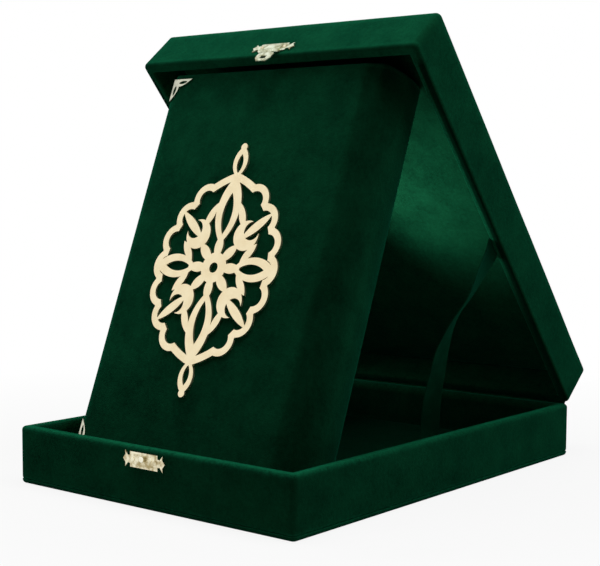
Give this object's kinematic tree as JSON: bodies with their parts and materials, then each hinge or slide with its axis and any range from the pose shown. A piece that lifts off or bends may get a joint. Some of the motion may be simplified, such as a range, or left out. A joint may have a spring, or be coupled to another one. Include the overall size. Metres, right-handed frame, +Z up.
{
  "type": "presentation box with book",
  "caption": "Velvet-covered box, hinged lid resting on a velvet-bound book that leans in the tray; brass hasp, ribbon stay, gold openwork medallion.",
  "frame": {"origin": "centre of the tray's underside", "axes": "+X to the right, +Y from the latch to the hinge, +Z up"},
  "size_m": [0.21, 0.3116, 0.2725],
  "materials": {
    "green_velvet": "deep green short-pile velvet",
    "green_lining": "deep green velvet lining on foam or card",
    "box_board": "raw fibreboard, covered all over",
    "latch_brass": "bright stamped brass",
    "green_ribbon": "deep green satin ribbon",
    "book_card": "grey binder's board, covered",
    "pages": "cream paper leaves",
    "endpaper": "cream endpaper",
    "band_thread": "sewn cream and gold headband",
    "pale_gold": "pale gold mirror sheet, cut through"
  },
  "bodies": {
    "tray": {"tray_underside": "green_velvet", "tray_base_board": "box_board", "tray_front_wall": "box_board", "tray_back_wall": "box_board", "tray_left_wall": "box_board", "tray_right_wall": "box_board", "tray_velvet": "green_velvet", "tray_floor_lining": "green_lining", "hinge_cloth_tray": "green_velvet", "catch_plate": "latch_brass", "catch_knob": "latch_brass", "catch_nails": "latch_brass", "lid_stay_ribbon": "green_ribbon"},
    "lid": {"lid_panel_board": "box_board", "lid_front_wall": "box_board", "lid_back_wall": "box_board", "lid_left_wall": "box_board", "lid_right_wall": "box_board", "lid_velvet": "green_velvet", "lid_lining": "green_lining", "hinge_cloth_lid": "green_velvet", "hasp_plate": "latch_brass", "hasp_nails": "latch_brass", "hasp_pin": "latch_brass"},
    "hasp": {"hasp_tongue": "latch_brass"},
    "book": {"book_front_board": "book_card", "book_back_board": "book_card", "book_spine_card": "book_card", "book_case_velvet": "green_velvet", "book_page_block": "pages", "book_front_endpaper": "endpaper", "book_back_endpaper": "endpaper", "book_head_band": "band_thread", "book_tail_band": "band_thread", "book_top_corner": "pale_gold", "book_bottom_corner": "pale_gold", "book_medallion": "pale_gold"}
  },
  "joints": [
    {"name": "lid_hinge", "type": "hinge", "parent": "tray", "child": "lid", "pos_m": [0, 0.143, 0.0342], "axis": [-1, 0, 0], "range_deg": [0, 35], "deforming": ["lid_stay_ribbon"]},
    {"name": "hasp_swing", "type": "hinge", "parent": "lid", "child": "hasp", "pos_m": [0, -0.04, 0.25581], "axis": [-1, 0, 0], "range_deg": [0, 150]},
    {"name": "book_tilt", "type": "hinge", "parent": "tray", "child": "book", "pos_m": [0.002, -0.08141, 0.00955], "axis": [1, 0, 0], "range_deg": [0, 21]}
  ]
}
